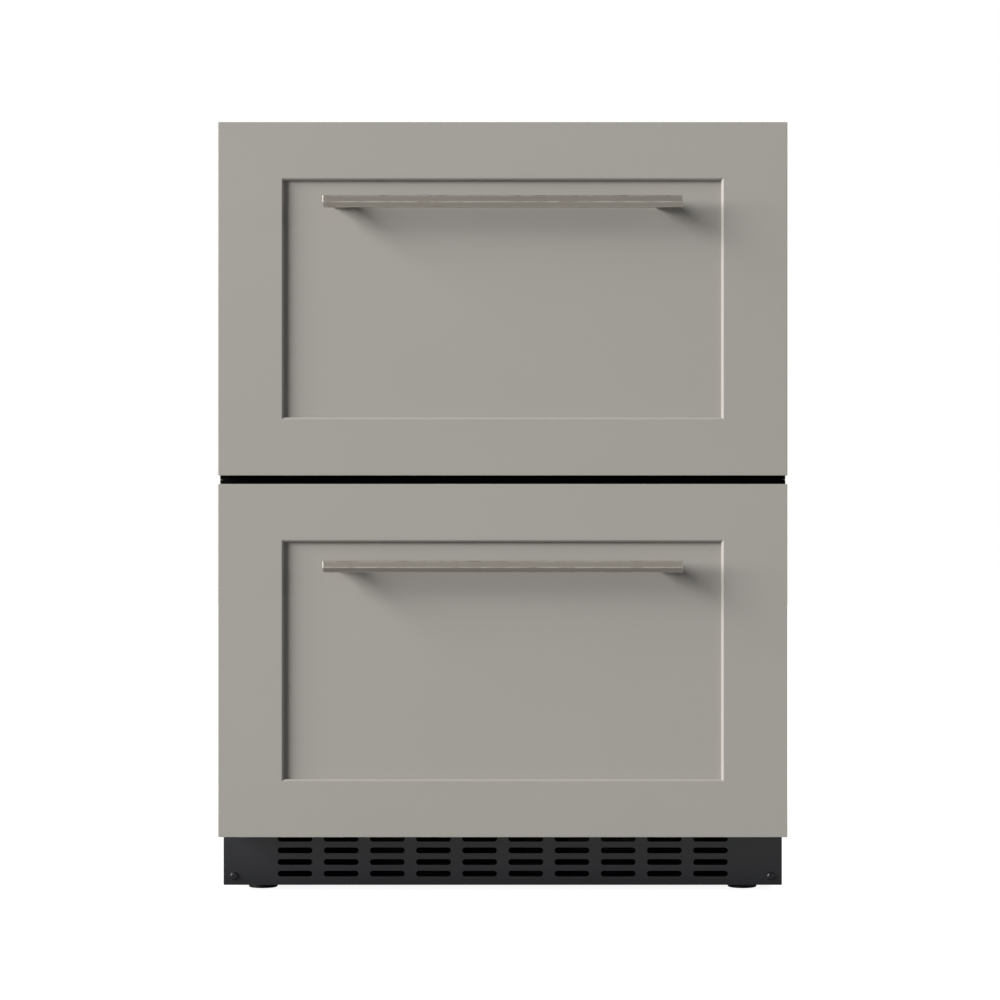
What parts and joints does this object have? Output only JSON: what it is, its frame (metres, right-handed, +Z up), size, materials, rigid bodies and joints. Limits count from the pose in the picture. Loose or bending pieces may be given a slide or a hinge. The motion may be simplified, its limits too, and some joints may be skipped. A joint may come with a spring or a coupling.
{
  "type": "undercounter drawer refrigerator",
  "caption": "Undercounter refrigerator with two full-width framed drawers on telescoping slides, bar handles, and a slotted toe-kick over levelling legs.",
  "frame": {"origin": "middle of the footprint, on the floor", "axes": "+Z up, drawers open towards -Y, +X to the right of someone facing the drawers"},
  "size_m": [0.597, 0.6404, 0.813],
  "materials": {
    "front_paint": "satin greige lacquer on board",
    "handle_metal": "satin warm nickel",
    "black_steel": "satin black powder coat",
    "galvanised_steel": "grey coated sheet",
    "white_liner": "white moulded",
    "foam": "rigid foam",
    "bin_plastic": "white moulded",
    "slide_steel": "bright zinc plate",
    "cage_steel": "plain strip",
    "gasket_rubber": "soft dark grey",
    "black_plastic": "moulded black",
    "foot_plastic": "moulded black",
    "screw_steel": "black plated",
    "zinc_screw": "zinc plated",
    "compressor_black": "gloss black enamel",
    "grommet_rubber": "moulded rubber",
    "fin_metal": "rolled fins",
    "copper_tube": "drawn copper",
    "display_glass": "smoked gloss",
    "button_plastic": "light moulded",
    "lens_plastic": "opal diffuser"
  },
  "bodies": {
    "cabinet": {"outer_wrapper": "black_steel", "rear_panel": "galvanised_steel", "foam_insulation": "foam", "inner_liner": "white_liner", "stepped_floor": "galvanised_steel", "mullion": "black_steel", "base_pan": "black_steel", "toe_kick_grille": "black_steel", "cabinet_screws": "screw_steel", "worktop_brackets": "slide_steel", "compressor": "compressor_black", "compressor_grommets": "grommet_rubber", "condenser": "black_steel", "condenser_fan_frame": "black_plastic", "drain_pan": "black_plastic", "refrigerant_lines": "copper_tube", "evaporator": "fin_metal", "evaporator_cover": "white_liner", "evaporator_fan_motor": "black_plastic", "control_housing": "button_plastic", "display_window": "display_glass", "light_lens": "lens_plastic", "rear_cover": "galvanised_steel", "cord_inlet": "black_plastic", "outer_rails": "slide_steel"},
    "condenser_fan": {"condenser_fan_rotor": "black_plastic"},
    "evaporator_fan": {"evaporator_fan_rotor": "black_plastic"},
    "power_button": {"power_button": "button_plastic"},
    "colder_button": {"colder_button": "button_plastic"},
    "warmer_button": {"warmer_button": "button_plastic"},
    "leg_front_left": {"leg_front_left": "foot_plastic"},
    "leg_front_right": {"leg_front_right": "foot_plastic"},
    "leg_rear_left": {"leg_rear_left": "foot_plastic"},
    "leg_rear_right": {"leg_rear_right": "foot_plastic"},
    "upper_drawer": {"upper_front_frame": "front_paint", "upper_front_field": "front_paint", "upper_handle_bar": "handle_metal", "upper_handle_posts": "handle_metal", "upper_handle_screws": "zinc_screw", "upper_door_shell": "black_steel", "upper_door_liner": "white_liner", "upper_gasket": "gasket_rubber", "upper_bin": "bin_plastic", "upper_inner_rails": "slide_steel"},
    "upper_mid_members": {"upper_mid_rails": "slide_steel"},
    "upper_outer_ball_cages": {"upper_outer_cages": "cage_steel"},
    "upper_inner_ball_cages": {"upper_inner_cages": "cage_steel"},
    "lower_drawer": {"lower_front_frame": "front_paint", "lower_front_field": "front_paint", "lower_handle_bar": "handle_metal", "lower_handle_posts": "handle_metal", "lower_handle_screws": "zinc_screw", "lower_door_shell": "black_steel", "lower_door_liner": "white_liner", "lower_gasket": "gasket_rubber", "lower_bin": "bin_plastic", "lower_inner_rails": "slide_steel"},
    "lower_mid_members": {"lower_mid_rails": "slide_steel"},
    "lower_outer_ball_cages": {"lower_outer_cages": "cage_steel"},
    "lower_inner_ball_cages": {"lower_inner_cages": "cage_steel"}
  },
  "joints": [
    {"name": "condenser_fan_turn", "type": "hinge", "parent": "cabinet", "child": "condenser_fan", "pos_m": [-0.172, 0.2218, 0.0952], "axis": [1, 0, 0], "continuous": true},
    {"name": "evaporator_fan_turn", "type": "hinge", "parent": "cabinet", "child": "evaporator_fan", "pos_m": [0, 0.2258, 0.694], "axis": [0, 1, 0], "continuous": true},
    {"name": "power_press", "type": "slide", "parent": "cabinet", "child": "power_button", "axis": [0, 1, 0], "range_m": [0, 0.001], "stiffness_N_per_m": 400, "springref_m": -0.0005},
    {"name": "colder_press", "type": "slide", "parent": "cabinet", "child": "colder_button", "axis": [0, 1, 0], "range_m": [0, 0.001], "stiffness_N_per_m": 400, "springref_m": -0.0005},
    {"name": "warmer_press", "type": "slide", "parent": "cabinet", "child": "warmer_button", "axis": [0, 1, 0], "range_m": [0, 0.001], "stiffness_N_per_m": 400, "springref_m": -0.0005},
    {"name": "leg_front_left_wind", "type": "slide", "parent": "cabinet", "child": "leg_front_left", "axis": [0, 0, -1], "range_m": [0, 0.02]},
    {"name": "leg_front_right_wind", "type": "slide", "parent": "cabinet", "child": "leg_front_right", "axis": [0, 0, -1], "range_m": [0, 0.02]},
    {"name": "leg_rear_left_wind", "type": "slide", "parent": "cabinet", "child": "leg_rear_left", "axis": [0, 0, -1], "range_m": [0, 0.02]},
    {"name": "leg_rear_right_wind", "type": "slide", "parent": "cabinet", "child": "leg_rear_right", "axis": [0, 0, -1], "range_m": [0, 0.02]},
    {"name": "upper_drawer_slide", "type": "slide", "parent": "cabinet", "child": "upper_drawer", "axis": [0, -1, 0], "range_m": [0, 0.42]},
    {"name": "upper_mid_slide", "type": "slide", "parent": "cabinet", "child": "upper_mid_members", "axis": [0, -1, 0], "range_m": [0, 0.21]},
    {"name": "upper_outer_cage_slide", "type": "slide", "parent": "cabinet", "child": "upper_outer_ball_cages", "axis": [0, -1, 0], "range_m": [0, 0.105]},
    {"name": "upper_inner_cage_slide", "type": "slide", "parent": "cabinet", "child": "upper_inner_ball_cages", "axis": [0, -1, 0], "range_m": [0, 0.315]},
    {"name": "lower_drawer_slide", "type": "slide", "parent": "cabinet", "child": "lower_drawer", "axis": [0, -1, 0], "range_m": [0, 0.42]},
    {"name": "lower_mid_slide", "type": "slide", "parent": "cabinet", "child": "lower_mid_members", "axis": [0, -1, 0], "range_m": [0, 0.21]},
    {"name": "lower_outer_cage_slide", "type": "slide", "parent": "cabinet", "child": "lower_outer_ball_cages", "axis": [0, -1, 0], "range_m": [0, 0.105]},
    {"name": "lower_inner_cage_slide", "type": "slide", "parent": "cabinet", "child": "lower_inner_ball_cages", "axis": [0, -1, 0], "range_m": [0, 0.315]}
  ],
  "couplings": [
    {"joint": "upper_mid_slide", "follows": "upper_drawer_slide", "ratio": 0.5},
    {"joint": "upper_outer_cage_slide", "follows": "upper_drawer_slide", "ratio": 0.25},
    {"joint": "upper_inner_cage_slide", "follows": "upper_drawer_slide", "ratio": 0.75},
    {"joint": "lower_mid_slide", "follows": "lower_drawer_slide", "ratio": 0.5},
    {"joint": "lower_outer_cage_slide", "follows": "lower_drawer_slide", "ratio": 0.25},
    {"joint": "lower_inner_cage_slide", "follows": "lower_drawer_slide", "ratio": 0.75}
  ]
}
